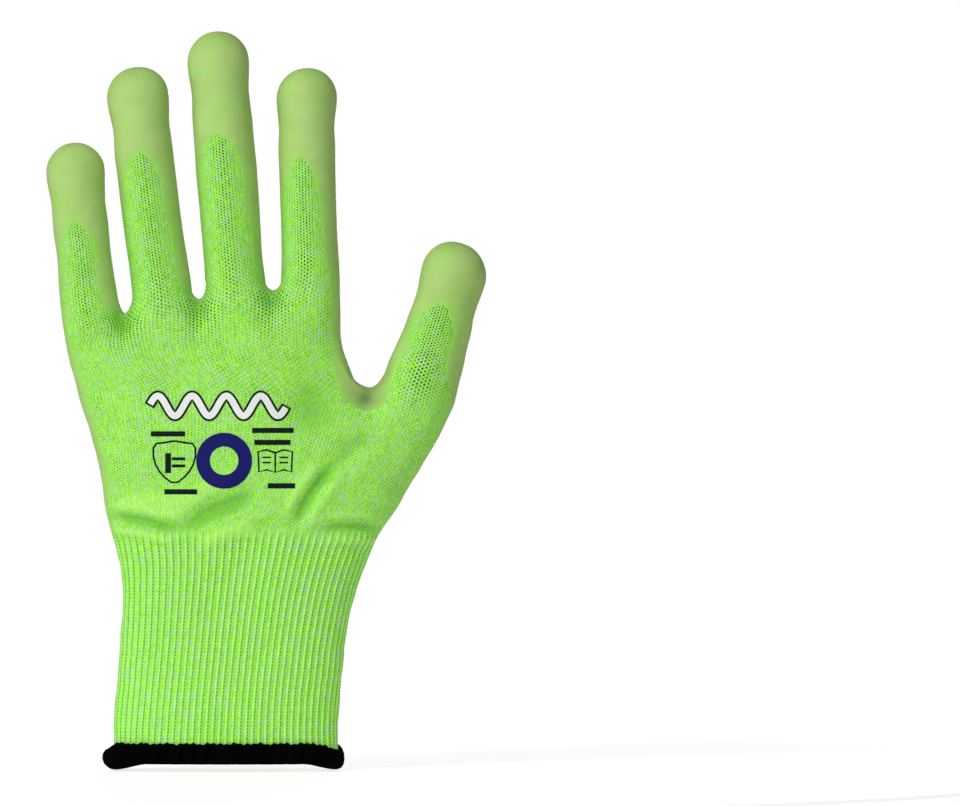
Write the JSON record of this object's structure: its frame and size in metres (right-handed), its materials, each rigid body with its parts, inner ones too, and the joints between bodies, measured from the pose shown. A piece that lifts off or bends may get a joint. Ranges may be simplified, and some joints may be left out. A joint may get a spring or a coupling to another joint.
{
  "type": "cut resistant glove",
  "caption": "Knitted work glove with a dipped palm coat, ribbed cuff with overlocked hem, and stalls that bend at the knuckles.",
  "frame": {"origin": "centre of the cuff opening, in the plane of the hem lower edge", "axes": "+Z along the hand to the fingertips, +X to the thumb side, +Y out of the palm, so the back of the hand faces -Y"},
  "size_m": [0.1551, 0.0328, 0.2601],
  "materials": {
    "knit": "lime green melange plain knit of high-strength yarn, matte",
    "rib": "lime green melange rib knit, matte",
    "coat": "thin yellow-green polyurethane dip, satin",
    "hem": "black overlock thread, matte",
    "elastic": "covered elastic thread",
    "print_light": "light grey ink",
    "print_dark": "near-black ink",
    "print_blue": "dark blue ink"
  },
  "bodies": {
    "cuff": {"rib_cuff": "rib", "hem_overlock": "hem", "cuff_elastic": "elastic", "cuff_coat": "coat", "wrist_knit": "knit"},
    "hand": {"hand_liner": "knit", "finger_crown": "knit", "thumb_mound": "knit", "palm_coat": "coat", "print_wave": "print_light", "print_wave_edge": "print_dark", "print_shield": "print_dark", "print_ring": "print_blue", "print_book": "print_dark", "print_bars": "print_dark"},
    "little_proximal": {"little_root_sleeve": "coat", "little_proximal_knit": "knit", "little_proximal_coat": "coat"},
    "little_middle": {"little_middle_sleeve": "coat", "little_middle_knit": "knit", "little_middle_coat": "coat"},
    "little_tip": {"little_end_sleeve": "coat", "little_tip_knit": "knit", "little_tip_coat": "coat"},
    "ring_proximal": {"ring_root_sleeve": "coat", "ring_proximal_knit": "knit", "ring_proximal_coat": "coat"},
    "ring_middle": {"ring_middle_sleeve": "coat", "ring_middle_knit": "knit", "ring_middle_coat": "coat"},
    "ring_tip": {"ring_end_sleeve": "coat", "ring_tip_knit": "knit", "ring_tip_coat": "coat"},
    "middle_proximal": {"middle_root_sleeve": "coat", "middle_proximal_knit": "knit", "middle_proximal_coat": "coat"},
    "middle_middle": {"middle_middle_sleeve": "coat", "middle_middle_knit": "knit", "middle_middle_coat": "coat"},
    "middle_tip": {"middle_end_sleeve": "coat", "middle_tip_knit": "knit", "middle_tip_coat": "coat"},
    "index_proximal": {"index_root_sleeve": "coat", "index_proximal_knit": "knit", "index_proximal_coat": "coat"},
    "index_middle": {"index_middle_sleeve": "coat", "index_middle_knit": "knit", "index_middle_coat": "coat"},
    "index_tip": {"index_end_sleeve": "coat", "index_tip_knit": "knit", "index_tip_coat": "coat"},
    "thumb_proximal": {"thumb_root_sleeve": "coat", "thumb_proximal_knit": "knit", "thumb_proximal_coat": "coat"},
    "thumb_tip": {"thumb_end_sleeve": "coat", "thumb_tip_knit": "knit", "thumb_tip_coat": "coat"}
  },
  "joints": [
    {"name": "wrist_bend", "type": "hinge", "parent": "cuff", "child": "hand", "pos_m": [0.0073, 0, 0.086], "axis": [-1, 0, 0], "range_deg": [-30, 40], "stiffness_Nm_per_rad": 0.4, "deforming": ["wrist_knit"]},
    {"name": "little_root_bend", "type": "hinge", "parent": "hand", "child": "little_proximal", "pos_m": [-0.04814, 0.002, 0.16396], "axis": [-0.9945, 0, -0.1045], "range_deg": [0, 70], "stiffness_Nm_per_rad": 0.04, "deforming": ["little_root_sleeve"]},
    {"name": "little_middle_bend", "type": "hinge", "parent": "little_proximal", "child": "little_middle", "pos_m": [-0.04991, 0.002, 0.18086], "axis": [-0.9945, 0, -0.1045], "range_deg": [0, 80], "stiffness_Nm_per_rad": 0.04, "deforming": ["little_middle_sleeve"]},
    {"name": "little_end_bend", "type": "hinge", "parent": "little_middle", "child": "little_tip", "pos_m": [-0.0519, 0.002, 0.19976], "axis": [-0.9945, 0, -0.1045], "range_deg": [0, 45], "stiffness_Nm_per_rad": 0.04, "deforming": ["little_end_sleeve"]},
    {"name": "ring_root_bend", "type": "hinge", "parent": "hand", "child": "ring_proximal", "pos_m": [-0.02294, 0.002, 0.17144], "axis": [-0.9925, 0, -0.1219], "range_deg": [0, 70], "stiffness_Nm_per_rad": 0.04, "deforming": ["ring_root_sleeve"]},
    {"name": "ring_middle_bend", "type": "hinge", "parent": "ring_proximal", "child": "ring_middle", "pos_m": [-0.02592, 0.002, 0.19575], "axis": [-0.9925, 0, -0.1219], "range_deg": [0, 80], "stiffness_Nm_per_rad": 0.04, "deforming": ["ring_middle_sleeve"]},
    {"name": "ring_end_bend", "type": "hinge", "parent": "ring_middle", "child": "ring_tip", "pos_m": [-0.02897, 0.002, 0.22057], "axis": [-0.9925, 0, -0.1219], "range_deg": [0, 45], "stiffness_Nm_per_rad": 0.04, "deforming": ["ring_end_sleeve"]},
    {"name": "middle_root_bend", "type": "hinge", "parent": "hand", "child": "middle_proximal", "pos_m": [0.00285, 0.002, 0.17647], "axis": [-0.9971, 0, -0.0767], "range_deg": [0, 70], "stiffness_Nm_per_rad": 0.04, "deforming": ["middle_root_sleeve"]},
    {"name": "middle_middle_bend", "type": "hinge", "parent": "middle_proximal", "child": "middle_middle", "pos_m": [0.00074, 0.002, 0.20389], "axis": [-0.9971, 0, -0.0767], "range_deg": [0, 80], "stiffness_Nm_per_rad": 0.04, "deforming": ["middle_middle_sleeve"]},
    {"name": "middle_end_bend", "type": "hinge", "parent": "middle_middle", "child": "middle_tip", "pos_m": [-0.00133, 0.002, 0.23081], "axis": [-0.9971, 0, -0.0767], "range_deg": [0, 45], "stiffness_Nm_per_rad": 0.04, "deforming": ["middle_end_sleeve"]},
    {"name": "index_root_bend", "type": "hinge", "parent": "hand", "child": "index_proximal", "pos_m": [0.02962, 0.002, 0.178], "axis": [-0.9998, 0, -0.0209], "range_deg": [0, 70], "stiffness_Nm_per_rad": 0.04, "deforming": ["index_root_sleeve"]},
    {"name": "index_middle_bend", "type": "hinge", "parent": "index_proximal", "child": "index_middle", "pos_m": [0.02917, 0.002, 0.19949], "axis": [-0.9998, 0, -0.0209], "range_deg": [0, 80], "stiffness_Nm_per_rad": 0.04, "deforming": ["index_middle_sleeve"]},
    {"name": "index_end_bend", "type": "hinge", "parent": "index_middle", "child": "index_tip", "pos_m": [0.02869, 0.002, 0.22249], "axis": [-0.9998, 0, -0.0209], "range_deg": [0, 45], "stiffness_Nm_per_rad": 0.04, "deforming": ["index_end_sleeve"]},
    {"name": "thumb_root_bend", "type": "hinge", "parent": "hand", "child": "thumb_proximal", "pos_m": [0.06973, 0.00196, 0.14223], "axis": [-0.9354, -0.2079, 0.286], "range_deg": [0, 45], "stiffness_Nm_per_rad": 0.04, "deforming": ["thumb_root_sleeve"]},
    {"name": "thumb_end_bend", "type": "hinge", "parent": "thumb_proximal", "child": "thumb_tip", "pos_m": [0.07617, 0.00196, 0.16327], "axis": [-0.9354, -0.2079, 0.286], "range_deg": [0, 60], "stiffness_Nm_per_rad": 0.04, "deforming": ["thumb_end_sleeve"]}
  ]
}
